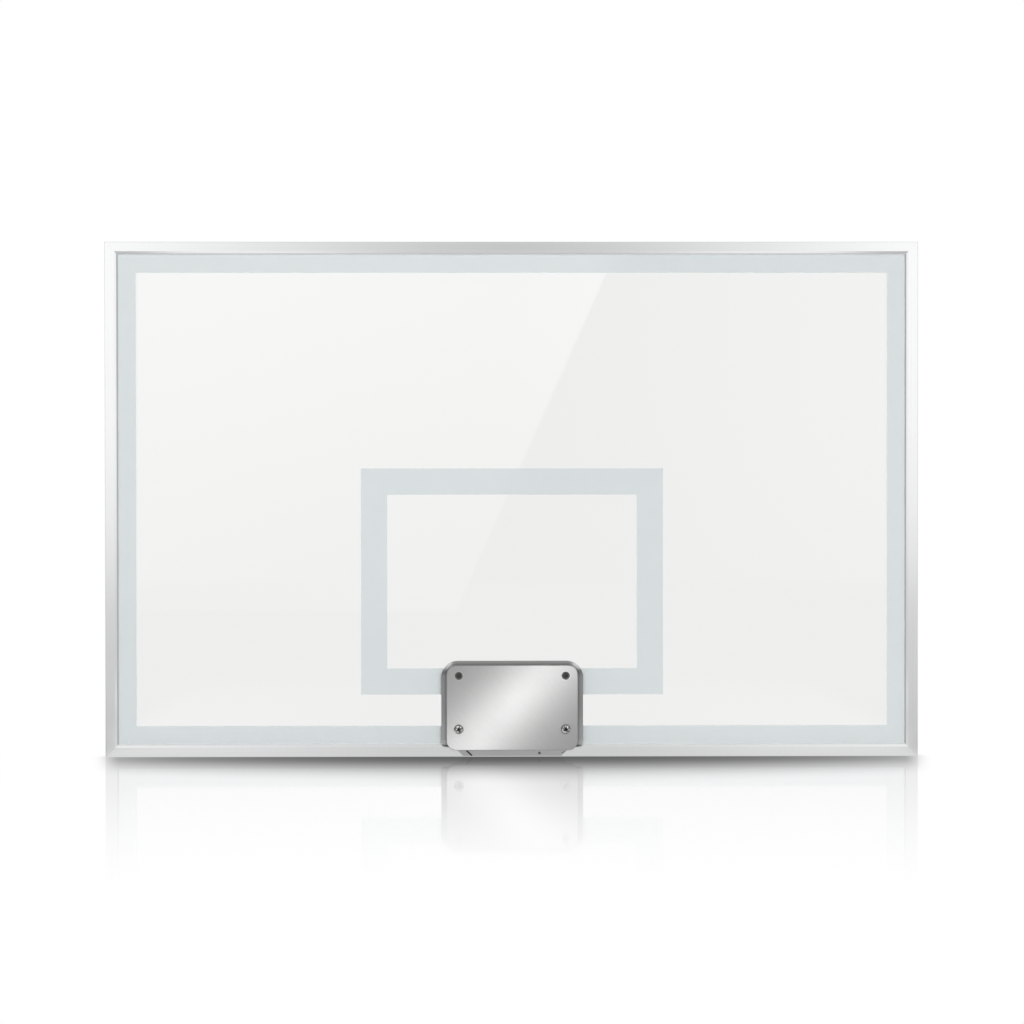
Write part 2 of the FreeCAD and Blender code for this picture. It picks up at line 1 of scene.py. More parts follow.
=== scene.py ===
# %% [markdown]
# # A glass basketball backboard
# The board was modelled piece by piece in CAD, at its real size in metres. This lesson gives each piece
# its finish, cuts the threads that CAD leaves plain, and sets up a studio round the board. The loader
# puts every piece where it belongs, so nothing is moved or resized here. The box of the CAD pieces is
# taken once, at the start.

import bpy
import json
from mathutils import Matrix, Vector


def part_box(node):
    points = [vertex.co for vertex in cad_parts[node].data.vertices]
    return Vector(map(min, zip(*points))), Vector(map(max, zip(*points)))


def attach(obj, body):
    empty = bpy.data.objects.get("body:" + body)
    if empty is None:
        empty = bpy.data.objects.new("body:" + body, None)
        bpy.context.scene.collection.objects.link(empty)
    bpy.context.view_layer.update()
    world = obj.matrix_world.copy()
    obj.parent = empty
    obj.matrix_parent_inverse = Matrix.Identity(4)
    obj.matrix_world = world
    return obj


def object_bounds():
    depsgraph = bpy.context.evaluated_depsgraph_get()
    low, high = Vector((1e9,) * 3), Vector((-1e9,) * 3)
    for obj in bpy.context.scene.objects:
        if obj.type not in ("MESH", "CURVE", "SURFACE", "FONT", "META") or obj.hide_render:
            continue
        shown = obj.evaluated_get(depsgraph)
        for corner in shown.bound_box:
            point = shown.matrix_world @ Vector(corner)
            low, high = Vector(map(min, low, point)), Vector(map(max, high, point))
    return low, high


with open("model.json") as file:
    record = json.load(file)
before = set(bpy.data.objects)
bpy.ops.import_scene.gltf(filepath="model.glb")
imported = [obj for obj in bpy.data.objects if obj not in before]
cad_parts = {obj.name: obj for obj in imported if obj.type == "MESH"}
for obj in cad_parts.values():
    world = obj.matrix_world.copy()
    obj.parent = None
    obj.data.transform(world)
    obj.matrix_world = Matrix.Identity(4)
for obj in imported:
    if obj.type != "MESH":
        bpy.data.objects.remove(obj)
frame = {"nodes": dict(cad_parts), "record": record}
cad_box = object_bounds()
print("loaded", len(frame["nodes"]), "pieces, box", *cad_box)

# %% Modules and colours
import json
import math

import bmesh
import bpy
from mathutils import Vector

scene = bpy.context.scene
scene.view_settings.view_transform = "Standard"
print("colours are shown by", scene.view_settings.view_transform)

# %% [markdown]
# ## The camera
# A picture of something flat is taken from far off with a long lens, so that its sides stay parallel.
# This camera stands 5.3 m in front of the frame, a little above the board's middle and a few centimetres
# to the left. It looks down by less than a degree and is rolled by a twentieth of one, which is why no
# two sides are quite equal.

# %% Camera
rail_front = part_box("top_rail")[0].y
camera_distance = 5.3
camera_height = 0.035
camera_left = 0.05
camera_roll = math.radians(-0.045)
lens_mm = 99.4
sensor_mm = 36.0
aim = Vector((0.0, rail_front, -0.0236))

camera = bpy.data.objects.new("camera", bpy.data.cameras.new("camera"))
camera.data.sensor_width = sensor_mm
camera.data.lens = lens_mm
camera.location = (aim.x - camera_left, rail_front - camera_distance, camera_height)
camera.rotation_euler = (aim - camera.location).to_track_quat("-Z", "Y").to_euler()
camera.rotation_euler.rotate_axis("Z", camera_roll)
scene.collection.objects.link(camera)
scene.camera = camera
print("camera at", *camera.location)

# %% [markdown]
# ## Writing shaders as sums
# A shader tree is easier to read as arithmetic than as a list of nodes and links. One small class holds
# an output socket, and Python's operators on it add the Math nodes. Every other node comes from its
# `node` method.

# %% A socket that can be reckoned with
class Socket:
    """An output of a node. Operators on it add Math nodes to its tree."""

    def __init__(self, tree, output):
        self.tree = tree
        self.output = output

    def node(self, kind, settings=None, inputs=None, output=0):
        """Add a node of any kind: its settings first, then values or links for its inputs."""
        added = self.tree.nodes.new(kind)
        for name, value in (settings or {}).items():
            setattr(added, name, value)
        for key, value in (inputs or {}).items():
            if isinstance(value, Socket):
                self.tree.links.new(value.output, added.inputs[key])
            else:
                added.inputs[key].default_value = value
        return Socket(self.tree, added.outputs[output]) if added.outputs else None

    def math(self, operation, *values):
        return self.node("ShaderNodeMath", {"operation": operation}, dict(enumerate(values)))

    def __add__(self, other):
        return self.math("ADD", self, other)

    def __radd__(self, other):
        return self.math("ADD", other, self)

    def __sub__(self, other):
        return self.math("SUBTRACT", self, other)

    def __rsub__(self, other):
        return self.math("SUBTRACT", other, self)

    def __mul__(self, other):
        return self.math("MULTIPLY", self, other)

    def __rmul__(self, other):
        return self.math("MULTIPLY", other, self)

    def __pow__(self, other):
        return self.math("POWER", self, other)

    def __abs__(self):
        return self.math("ABSOLUTE", self)

    def floor_at(self, least):
        return self.math("MAXIMUM", self, least)

    def __gt__(self, other):
        return self.math("GREATER_THAN", self, other)

    def __lt__(self, other):
        return self.math("LESS_THAN", self, other)


print("sockets know", [name for name in vars(Socket) if name.startswith("__") and name != "__dict__"])

# %% [markdown]
# A few helpers cover what most finishes share. `grain` is noise whose spots have a size in metres, so
# long thin spots make brushed lines and round ones make clouds. `tint` mixes two colours and `grey` makes
# one from a level. `finish` turns the result into a Principled surface, with a relief in metres where the
# metal or rubber has one.

# %% Helpers for finishes
def blank(name):
    """A material with nothing in it but its object coordinates, which come back with it."""
    material = bpy.data.materials.new(name)
    material.use_nodes = True
    material.node_tree.nodes.clear()
    coordinates = material.node_tree.nodes.new("ShaderNodeTexCoord")
    return material, Socket(material.node_tree, coordinates.outputs["Object"])


def grain(place, size, turn=0.0, detail=2.0):
    """Noise from 0 to 1 with spots of a size in metres along X, Y and Z, turned about Y."""
    settings = {"Vector": place, "Rotation": (0.0, turn, 0.0), "Scale": size}
    pattern = place.node("ShaderNodeMapping", {"vector_type": "TEXTURE"}, settings)
    return place.node("ShaderNodeTexNoise", inputs={"Vector": pattern, "Scale": 1.0, "Detail": detail})


def even(size):
    """The same size along X, Y and Z, or the same level of red, green and blue."""
    return (size, size, size)


def tint(share, first, second):
    """Mix two colours. Sockets 6 and 7 of a Mix node are its colours, and output 2 is their mix."""
    colours = {0: share, 6: (*first, 1.0), 7: (*second, 1.0)}
    return share.node("ShaderNodeMix", {"data_type": "RGBA"}, colours, 2)


def grey(level):
    """The grey of a level, which may be brighter than white."""
    return level.node("ShaderNodeCombineColor", inputs={"Red": level, "Green": level, "Blue": level})


def split(place):
    """X, Y and Z of a place, as three sockets."""
    parts = place.tree.nodes.new("ShaderNodeSeparateXYZ")
    place.tree.links.new(place.output, parts.inputs["Vector"])
    return [Socket(place.tree, output) for output in parts.outputs]


def smooth(value, start, end):
    """From 0 at start to 1 at end, eased at both."""
    limits = {"Value": value, "From Min": start, "From Max": end}
    return value.node("ShaderNodeMapRange", {"interpolation_type": "SMOOTHSTEP"}, limits)


def show(surface):
    """Make a shader the surface of its material."""
    surface.node("ShaderNodeOutputMaterial", inputs={"Surface": surface})


def finish(place, inputs, relief=None):
    """A Principled surface, with a relief in metres if there is one."""
    if relief is not None:
        inputs["Normal"] = place.node("ShaderNodeBump", inputs={"Distance": 1.0, "Height": relief})
    show(place.node("ShaderNodeBsdfPrincipled", inputs=inputs))


print("helpers ready")

# %% [markdown]
# ## The aluminium frame
# The rails are sawn from an extruded bar and anodised, so fine die lines run along each of them and the
# metal has a satin sheen. One finish could serve all four rails, but the lines have to follow the bar. So
# the finish is made twice, along X and along Z. A hairline marks the mitre where two rails meet.

# %% Anodised aluminium
board_half = (cad_box[1] - cad_box[0]) / 2
die_line = 0.0006
die_run = 0.6
die_relief = 0.000004
rail_cloud = 0.08
mitre_hairline = 0.0003


def anodised(name, size, grain_turn):
    material, place = blank(name)
    lines = grain(place, size, detail=3.0)
    clouds = grain(place, even(rail_cloud))
    x, _, z = split(place)
    mitre = abs((board_half.x - abs(x)) - (board_half.z - abs(z))) < mitre_hairline
    colour = tint(lines * (1 - 0.6 * mitre), (0.78, 0.785, 0.79), (0.89, 0.893, 0.897))
    inputs = {
        "Base Color": colour,
        "Metallic": 1.0,
        "Roughness": 0.13 + 0.05 * lines + 0.03 * clouds,
        "Anisotropic": 0.72,
        "Anisotropic Rotation": grain_turn,
    }
    finish(place, inputs, relief=lines * die_relief)
    return material


level_rail = anodised("anodised_level", (die_run, die_line, die_line), 0.25)
upright_rail = anodised("anodised_upright", (die_line, die_line, die_run), 0.0)
print("made", level_rail.name, upright_rail.name)

# %% [markdown]
# The keys inside the corners are cast, and nobody polishes what is hidden. A scanned picture could give
# them their rough skin. Noise with spots the size of sand grains needs no file and holds at any distance.

# %% Cast aluminium
sand_size = 0.0009
sand_relief = 0.00008


def cast_aluminium():
    material, place = blank("cast_aluminium")
    sand = grain(place, even(sand_size), detail=4.0)
    inputs = {
        "Base Color": tint(sand, (0.46, 0.465, 0.47), (0.62, 0.625, 0.63)),
        "Metallic": 1.0,
        "Roughness": 0.5 + 0.2 * sand,
    }
    finish(place, inputs, relief=sand * sand_relief)
    return material


corner_casting = cast_aluminium()
print("made", corner_casting.name)

# %% [markdown]
# ## The glass
# Tempered glass is clear, and what is seen of it is a slight loss of light and a faint mirror image. A
# glass shader would bend the light twice and need many samples for a flat pane. So each face lets light
# straight through a Transparent shader, and a Glossy one takes the share that a real face mirrors: 4%
# seen straight on and nearly all of it at a glancing angle. A trace of wiping haze makes the mirror image
# a little uneven.

# %% Clear glass
mirror_share = 0.04
wiping_size = (0.35, 0.35, 0.06)
wiping_turn = math.radians(20.0)
wiping_haze = 0.004
pane_roughness = 0.012


def clear_glass():
    material, place = blank("clear_glass")
    facing = place.node("ShaderNodeLayerWeight", inputs={"Blend": 0.5}, output=1)
    wiping = grain(place, wiping_size, turn=wiping_turn, detail=3.0)
    mirrored = mirror_share + (1 - mirror_share) * facing ** 5 + wiping_haze * wiping
    through = place.node("ShaderNodeBsdfTransparent", inputs={"Color": (0.942, 0.943, 0.939, 1.0)})
    haze = {"Roughness": pane_roughness + pane_roughness * wiping}
    mirror = place.node("ShaderNodeBsdfGlossy", inputs=haze)
    show(place.node("ShaderNodeMixShader", inputs={0: mirrored, 1: through, 2: mirror}))
    return material


pane_glass = clear_glass()
print("made", pane_glass.name)

# %% [markdown]
# ## The printed lines
# The border and the target are a glossy enamel, printed through a mesh on the front of the glass. It is a
# pale cool grey. They could be painted on the glass by its finish, but as thin solids they keep sharp
# edges and a thickness. The mesh leaves a fine texture, too small to see from the camera but there in a
# close view.

# %% Printed enamel
mesh_size = 0.0005
mesh_relief = 0.0000004
pooling_size = 0.03


def printed_enamel():
    material, place = blank("printed_enamel")
    mesh_print = grain(place, even(mesh_size))
    pooling = grain(place, even(pooling_size), detail=3.0)
    depth = 0.6 * pooling + 0.4 * mesh_print
    inputs = {
        "Base Color": tint(depth, (0.702, 0.753, 0.760), (0.742, 0.790, 0.798)),
        "Roughness": 0.05 + 0.04 * pooling,
        "IOR": 1.5,
    }
    finish(place, inputs, relief=mesh_print * mesh_relief)
    return material


line_print = printed_enamel()
print("made", line_print.name)

# %% [markdown]
# ## Rubber
# A grey gasket holds the glass in its channel and shows as a thin line inside the frame. Its runs along
# the top and the foot are a copy painted paler than those up the sides, as painted light. The pads,
# blocks and grommets round the goal mount are black. All are moulded, so one function makes them: a dull
# surface with a fine grain and a bloom that greys it in patches.

# %% Moulded rubber
pore_size = 0.0007
pore_relief = 0.00002
bloom_size = 0.025


def moulded_rubber(name, dark, pale):
    material, place = blank(name)
    pores = grain(place, even(pore_size), detail=3.0)
    bloom = grain(place, even(bloom_size), detail=3.0)
    inputs = {
        "Base Color": tint(0.4 * pores + 0.6 * bloom, dark, pale),
        "Roughness": 0.55 + 0.2 * bloom,
        "IOR": 1.45,
    }
    finish(place, inputs, relief=pores * pore_relief)
    return material


gasket_rubber = moulded_rubber("gasket_rubber", (0.51, 0.52, 0.535), (0.59, 0.60, 0.615))
# A copy of the gasket rubber painted paler for the top and foot runs, as painted light.
painted_lit_gasket = moulded_rubber("painted_lit_gasket", (0.855, 0.88, 0.89), (0.935, 0.955, 0.965))
pad_rubber = moulded_rubber("pad_rubber", (0.030, 0.030, 0.031), (0.055, 0.055, 0.056))
print("made", gasket_rubber.name, painted_lit_gasket.name, pad_rubber.name)

# %% [markdown]
# ## The goal mount
# The front plate is stainless steel brushed on a belt, and its lines run from the upper left to the lower
# right. Brushing spreads a reflection across the lines and keeps it narrow along them. That is what draws
# a bright band over such a plate, at right angles to the lines. The Principled shader's anisotropy does
# the same.
#
# Round the two upper holes a brighter ring is painted on the plate, a painted highlight where the rim of
# each hole catches light. A distance from the nearer axis finds that ring, and as the fasteners stand
# alike left and right of the middle, it needs only an absolute X.

# %% Where the fasteners stand
mm_in_metre = 1000
rim_bolts = {mount["name"]: mount for mount in frame["record"]["mounts"]}["rim_bolts"]
bolt_reach = rim_bolts["dims"]["spacing_x_mm"] / (2 * mm_in_metre)
bore_height = rim_bolts["pos_m"][2]
bore_radius = rim_bolts["dims"]["hole_r_mm"] / mm_in_metre


def from_axis(place, height):
    """Distance in metres from the nearer of the two fasteners' axes at a height."""
    x, _, z = split(place)
    across = abs(x) - bolt_reach
    up = z - height
    return (across * across + up * up) ** 0.5


print("fasteners stand", bolt_reach, "m to each side")

# %% Brushed stainless plate
plate_low, plate_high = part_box("goal_plate")
plate_middle = (plate_low + plate_high) / 2
brush_turn = math.radians(45.0)
brush_line = 0.00035
brush_run = 0.03
brush_relief = 0.000004
plate_cloud = 0.05
bush_radius = 0.00725
rim_highlight_width = 0.0022


def brushed_plate():
    material, place = blank("brushed_stainless")
    lines = grain(place, (brush_run, brush_line, brush_line), turn=brush_turn, detail=3.0)
    clouds = grain(place, even(plate_cloud))
    off_axis = from_axis(place, bore_height)
    # Painted highlight: a bright ring round each upper hole.
    painted_rim_highlight = smooth(off_axis, bush_radius + rim_highlight_width, bush_radius + rim_highlight_width / 2)
    inputs = {
        "Base Color": tint(0.38 * lines + 0.6 * painted_rim_highlight, (0.305, 0.305, 0.305), (0.52, 0.52, 0.513)),
        "Metallic": 1.0,
        "Roughness": 0.342 + 0.05 * lines + 0.03 * clouds,
        "Anisotropic": 0.918,
        "Anisotropic Rotation": brush_turn / math.tau,
    }
    finish(place, inputs, relief=lines * brush_relief)
    return material


goal_plate_steel = brushed_plate()
print("made", goal_plate_steel.name)

# %% [markdown]
# The base under the plate is a darker steel with a satin bead-blasted face. Its bevels look up, down and
# to the sides, so each of them shows another part of the room. Shade is painted into its colour where
# shadow falls: along the edge of the plate, in the slanted drain slot and as a fine dark line at the
# right end of the foot.
#
# It could be painted by hand on a picture. Here it is found by distances, from the plate's rounded
# outline and from the middle lines of slot and seam, so it stays where the pieces are.

# %% Where painted shade falls
base_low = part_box("goal_base")[0]
plate_corner = 0.018
slot_place = (-0.0805, base_low.z + 0.0057)
slot_half = (0.007, 0.0012)
slot_tilt = math.radians(-45.0)
seam_place = (0.0986, base_low.z + 0.0088)
seam_half = (0.006, 0.0004)
seam_tilt = math.radians(26.0)
mark_fade = (0.001, 0.0006)


def from_plate_edge(place):
    """Distance in metres outside the rounded outline of the goal plate."""
    x, _, z = split(place)
    across = abs(x) - (plate_high.x - plate_corner)
    up = abs(z - plate_middle.z) - (plate_high.z - plate_middle.z - plate_corner)
    across, up = across.floor_at(0.0), up.floor_at(0.0)
    return (across * across + up * up) ** 0.5 - plate_corner


def in_mark(place, spot, half, tilt):
    """1 inside a slanted mark of a half length and a half width, fading to 0 just outside it."""
    x, _, z = split(place)
    right, up = x - spot[0], z - spot[1]
    along = abs(math.cos(tilt) * right + math.sin(tilt) * up)
    across = abs(math.cos(tilt) * up - math.sin(tilt) * right)
    in_length = smooth(along, half[0] + mark_fade[0], half[0])
    in_width = smooth(across, half[1] + mark_fade[1], half[1])
    return in_length * in_width


print("plate outline, drain slot and seam placed")

# %% Satin base
bead_size = 0.0006
bead_relief = 0.000006
base_cloud = 0.04
crevice_shade_width = 0.0055
crevice_shade_share = 0.42
slot_shade_share = 0.9
seam_shadow_share = 0.75


def satin_steel():
    material, place = blank("satin_steel")
    beads = grain(place, even(bead_size), detail=3.0)
    clouds = grain(place, even(base_cloud))
    height = split(place)[2]
    # Painted shade: the colour darkens towards the plate's edge, where shadow falls in the crevice.
    painted_crevice_shade = crevice_shade_share * smooth(from_plate_edge(place), crevice_shade_width, 0.0) * (height > plate_low.z)
    # Painted shade inside the slanted drain slot.
    slot = in_mark(place, slot_place, slot_half, slot_tilt)
    # Painted shadow line at the right end of the foot.
    seam = in_mark(place, seam_place, seam_half, seam_tilt)
    unshaded = (1 - painted_crevice_shade) * (1 - slot_shade_share * slot) * (1 - seam_shadow_share * seam)
    steel = 0.44 + 0.05 * beads + 0.05 * clouds
    inputs = {
        "Base Color": grey(unshaded * steel),
        "Metallic": 1.0,
        "Roughness": 0.28 + 0.1 * beads,
    }
    finish(place, inputs, relief=beads * bead_relief)
    return material


goal_base_steel = satin_steel()
print("made", goal_base_steel.name)

# %% [markdown]
# The two lower screws are turned and polished, so faint rings run round each head. Shade is painted into
# the hexagon sockets, grease has run out over the crown, and a painted shadow rings the head where it
# meets the plate. Each of these is a band of distances from the screw's axis.

# %% Bright screws
screw_low, screw_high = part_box("goal_plate_screws")
screw_height = (screw_low.z + screw_high.z) / 2
socket_radius = 0.0037
head_radius = 0.00875
crown_skin = 0.0004
smear_size = (0.0032, 0.0032, 0.0045)
smear_turn = math.radians(25.0)
smear_span = (0.44, 0.54)
run_out_radius = 1.3 * head_radius
shadow_ring_radius = 0.78 * head_radius
rings_in_metre = 6000.0
ring_relief = 0.000004


def bright_screw():
    material, place = blank("bright_screw")
    depth = split(place)[1]
    off_axis = from_axis(place, screw_height)
    rings = {"W": off_axis, "Scale": rings_in_metre}
    turned = place.node("ShaderNodeTexNoise", {"noise_dimensions": "1D"}, rings)
    # Painted shade in the hexagon sockets, deeper than the crown's skin.
    painted_socket_shade = (off_axis < socket_radius) * (depth > screw_low.y + crown_skin)
    smears = smooth(grain(place, smear_size, turn=smear_turn), *smear_span)
    run_out = smears * smooth(off_axis, run_out_radius, socket_radius)
    # Painted shadow round the head's edge, where it meets the plate.
    ring = smooth(off_axis, shadow_ring_radius, head_radius)
    steel = (0.66 + 0.10 * turned) * (1 - 0.9 * painted_socket_shade) * (1 - 0.85 * run_out) * (1 - 0.6 * ring)
    inputs = {
        "Base Color": tint(steel, even(0.0), (1.0, 1.0, 0.99)),
        "Metallic": 1.0,
        "Roughness": 0.12 + 0.1 * turned,
    }
    finish(place, inputs, relief=turned * ring_relief)
    return material


goal_screw_steel = bright_screw()
print("made", goal_screw_steel.name, "round axes at", bolt_reach, screw_height)

# %% [markdown]
# The bushes that take the rim's bolts are blackened in a hot salt bath, which leaves a thin dark film
# with browner patches where it is thinnest. One noise serves for the colour, the roughness and the
# relief, because on a real film all three change together.

# %% Blackened steel
film_size = 0.004
film_relief = 0.00001


def blackened_steel():
    material, place = blank("blackened_steel")
    film = grain(place, even(film_size), detail=4.0)
    inputs = {
        "Base Color": tint(film, (0.12, 0.12, 0.123), (0.21, 0.205, 0.20)),
        "Metallic": 1.0,
        "Roughness": 0.34 + 0.16 * film,
    }
    finish(place, inputs, relief=film * film_relief)
    return material


black_steel = blackened_steel()
print("made", black_steel.name)

# %% [markdown]
# ## The back of the board
# The corner plates and the bracket behind the glass are welded or bent steel under a grey powder coat.
# Powder melts into a skin with a fine ripple, known as orange peel, and tiny darker specks. The ripple is
# far finer than a mesh should be, so it is a relief in the finish.

# %% Powder coat
peel_size = 0.0016
peel_relief = 0.00004
speck_size = 0.0004


def powder_coat():
    material, place = blank("powder_coat")
    peel = grain(place, even(peel_size), detail=2.0)
    specks = grain(place, even(speck_size), detail=1.0)
    inputs = {
        "Base Color": tint(0.5 * peel + 0.5 * specks, (0.40, 0.41, 0.42), (0.50, 0.51, 0.52)),
        "Roughness": 0.38 + 0.16 * peel,
        "IOR": 1.5,
    }
    finish(place, inputs, relief=peel * peel_relief)
    return material


grey_coat = powder_coat()
print("made", grey_coat.name)

# %% [markdown]
# The smaller hardware is zinc plated. Plating has a bluish cast with paler, duller clouds. A plain blue
# grey would look painted, so the clouds change the colour and the roughness alike.

# %% Zinc plate
zinc_cloud = 0.003
zinc_relief = 0.00001


def zinc_plate():
    material, place = blank("zinc_plate")
    clouds = grain(place, even(zinc_cloud), detail=4.0)
    inputs = {
        "Base Color": tint(clouds, (0.50, 0.53, 0.57), (0.72, 0.73, 0.72)),
        "Metallic": 1.0,
        "Roughness": 0.26 + 0.2 * clouds,
    }
    finish(place, inputs, relief=clouds * zinc_relief)
    return material


plated_steel = zinc_plate()
print("made", plated_steel.name)

# %% [markdown]
# ## Dressing the pieces
# The record says which finish each piece takes, so no list of pieces is needed here. Only the rails and
# the gasket need a choice, by the way they run: the gasket's top and foot take the copy painted lighter.

# %% Assign the finishes
slot_finish = {
    "frame_aluminium": level_rail,
    "cast_key": corner_casting,
    "coated_steel": grey_coat,
    "zinc_steel": plated_steel,
    "clear_glass": pane_glass,
    "gasket_rubber": gasket_rubber,
    "pad_rubber": pad_rubber,
    "printed_enamel": line_print,
    "base_steel": goal_base_steel,
    "stainless_plate": goal_plate_steel,
    "bright_screw": goal_screw_steel,
    "black_steel": black_steel,
}
node_finish = {row["node"]: slot_finish[row["material_slot"]] for row in frame["record"]["subparts"]}
node_finish.update({"left_rail": upright_rail, "right_rail": upright_rail})
# The top and the foot of the gasket take the copy painted lighter.
node_finish.update({"gasket_top": painted_lit_gasket, "gasket_bottom": painted_lit_gasket})
for node, piece in frame["nodes"].items():
    piece.data.materials.clear()
    piece.data.materials.append(node_finish[node])
print("dressed", len(node_finish), "pieces in", len(set(node_finish.values())), "finishes")

# %% [markdown]
# ## Threads in the bushes
# The two bushes are open at the front for the rim's bolts, so a look into them shows a thread. CAD leaves
# the bore plain.
#
# A thread is one small triangle carried round and along the bore. The spin operator does that with a step
# along the axis, so the ridge comes out as one unbroken helix.

# %% Thread ridges
thread_pitch = 0.0015
thread_rise = 0.0008
root_share = 0.8
steps_in_turn = 24
bore_depth = 0.016
bush_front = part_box("rim_bushes")[0].y


def thread_ridge(name, x):
    start = bush_front + thread_pitch
    turns = int((bush_front + bore_depth - start) / thread_pitch) - 1
    axis_point = Vector((x, start, bore_height))
    root = root_share * thread_pitch
    corners = [(bore_radius, 0.0), (bore_radius - thread_rise, root / 2), (bore_radius, root)]
    mesh = bmesh.new()
    points = [mesh.verts.new(axis_point + Vector((out, along, 0.0))) for out, along in corners]
    profile = [mesh.edges.new((points[index - 1], points[index])) for index in range(len(points))]
    bmesh.ops.spin(
        mesh,
        geom=profile,
        cent=axis_point,
        axis=(0.0, 1.0, 0.0),
        dvec=(0.0, thread_pitch / steps_in_turn, 0.0),
        angle=math.tau * turns,
        steps=steps_in_turn * turns,
    )
    bmesh.ops.holes_fill(mesh, edges=mesh.edges, sides=len(points))
    bmesh.ops.recalc_face_normals(mesh, faces=mesh.faces)
    data = bpy.data.meshes.new(name)
    mesh.to_mesh(data)
    mesh.free()
    data.materials.append(black_steel)
    ridge = bpy.data.objects.new(name, data)
    scene.collection.objects.link(ridge)
    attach(ridge, "root")
    return turns


for side, x in (("left", -bolt_reach), ("right", bolt_reach)):
    print("thread", side, "has", thread_ridge(f"rim_thread_{side}", x), "turns")

# %% [markdown]
# ## The floor
# The board stands on a pale, polished floor that runs on into a white room. Seen by the camera the floor
# is white but for the soft dark of the board's contact, and it mirrors the lower part of the board.
# Polish alone would mirror all of it, so the mirror fades with the distance from the board.
#
# The contact is deepest under the middle of the board. It thins out towards both ends, where light comes
# round them, and it reaches less far there too, as it does behind the board, where the back lamp shines
# on it. It narrows with the distance from the board, as any soft shadow does.

# %% Where the board darkens the floor
floor_height = cad_box[0].z
floor_half = 9.0
contact_depth = 0.89
contact_start = 0.025
contact_reach = 0.51
contact_end = 0.79
contact_fade = 0.055
contact_taper = 0.19
contact_evenness = 0.16
contact_draw_in = 0.8
contact_behind = 0.7


def contact_shade(x, away):
    """Share of the floor's light that is left, by place along the board and distance from its face."""
    along = abs(x) * (1 + contact_taper * away)
    inside = (1 - (along * along) * contact_end ** -2).floor_at(0.0) ** contact_evenness
    inside = inside * smooth(along, contact_end, contact_end - contact_fade)
    near = 1 - smooth(away * (1 + contact_draw_in * x * x), contact_start, contact_reach)
    return 1 - contact_depth * inside * near


print("contact reaches", contact_reach, "m from the board")

# %% [markdown]
# Metal mirrors the floor too, and most of what the lower rails and the goal plate show is floor. There it
# is a mid grey under the middle of the board, paler to both sides and dimmer again past the board's ends.
# Further off it evens out, so that the glass doesn't show a patch of floor.
#
# The Light Path node tells the kinds of ray apart: one floor is shown to the camera, one to metal and
# glass, and one to everything dull, which it lights from below.

# %% Floor as metal mirrors it
middle_floor = 0.706
far_floor = 0.68
side_gain = 0.08
off_side_gain = 0.25
far_gain = 0.2
end_dimming = 0.44
side_span = (0.15, 0.6)
end_span = (0.74, 0.845)
off_side_span = (0.2, 0.5)
far_gain_span = (0.8, 2.0)
far_span = (0.5, 2.4)


def floor_in_metal(x, away):
    """Level of the floor in a mirror image."""
    pale = side_gain + off_side_gain * smooth(away, *off_side_span)
    ends = 1 - end_dimming * smooth(abs(x), *end_span)
    gain = 1 + far_gain * smooth(away, *far_gain_span)
    near = (middle_floor + pale * smooth(abs(x), *side_span)) * ends * gain
    return near + (far_floor - near) * smooth(away, *far_span)


print("metal mirrors a floor of", middle_floor)

# %% Floor
polish_share = 0.40
polish_reach = 1.85
polish_roughness = 0.05
dull_near, dull_far = 0.70, 0.40
dull_span = (0.3, 2.5)
pure_white = (1.0, 1.0, 1.0, 1.0)


def rays(place, *kinds):
    """For each kind of light ray, a socket that is 1 for rays of that kind and 0 for others."""
    paths = place.tree.nodes.new("ShaderNodeLightPath")
    return [Socket(place.tree, paths.outputs[f"Is {kind} Ray"]) for kind in kinds]


def floor_finish():
    material, place = blank("polished_floor")
    x, y, _ = split(place)
    away = abs(y - rail_front)
    seen, mirrored_ray = rays(place, "Camera", "Glossy")
    contact = contact_shade(x, away * (1 + contact_behind * (y > rail_front)))
    white = place.node("ShaderNodeEmission", inputs={"Color": grey(contact)})
    gloss = {"Color": pure_white, "Roughness": polish_roughness}
    polish = place.node("ShaderNodeBsdfGlossy", inputs=gloss)
    mirrored = polish_share * contact * (1 - smooth(away, 0.0, polish_reach))
    polished = place.node("ShaderNodeMixShader", inputs={0: mirrored, 1: white, 2: polish})
    lit = tint(smooth(away, *dull_span), even(dull_near), even(dull_far))
    dull = place.node("ShaderNodeBsdfDiffuse", inputs={"Color": lit})
    bright = place.node("ShaderNodeEmission", inputs={"Color": grey(floor_in_metal(x, away))})
    plain = place.node("ShaderNodeMixShader", inputs={0: mirrored_ray, 1: dull, 2: bright})
    show(place.node("ShaderNodeMixShader", inputs={0: seen, 1: plain, 2: polished}))
    material.cycles.emission_sampling = "NONE"
    return material


floor_mesh = bmesh.new()
bmesh.ops.create_grid(floor_mesh, x_segments=1, y_segments=1, size=floor_half)
bmesh.ops.translate(floor_mesh, verts=floor_mesh.verts, vec=(0.0, 0.0, floor_height))
floor_data = bpy.data.meshes.new("floor")
floor_mesh.to_mesh(floor_data)
floor_mesh.free()
floor_data.materials.append(floor_finish())
floor = bpy.data.objects.new("floor", floor_data)
scene.collection.objects.link(floor)
print("floor at", floor_height)

# %% [markdown]
# ## The room
# The world is the light that comes from everywhere. The camera sees it white, and everything dull gets
# one even level. A photographed room could stand round the board, but plain levels are easier to set.
# What metal mirrors is laid out by direction, as walls and screens would be: white behind the board, dark
# at the sides, dim above, and in front a room that brightens to both sides of the camera. That is what
# makes the frame brightest at its upper corners.
#
# A board that is seen in the floor shows another part of the room. There the front gets one level, so
# that the image in the floor is as grey as the foot of the board above it.

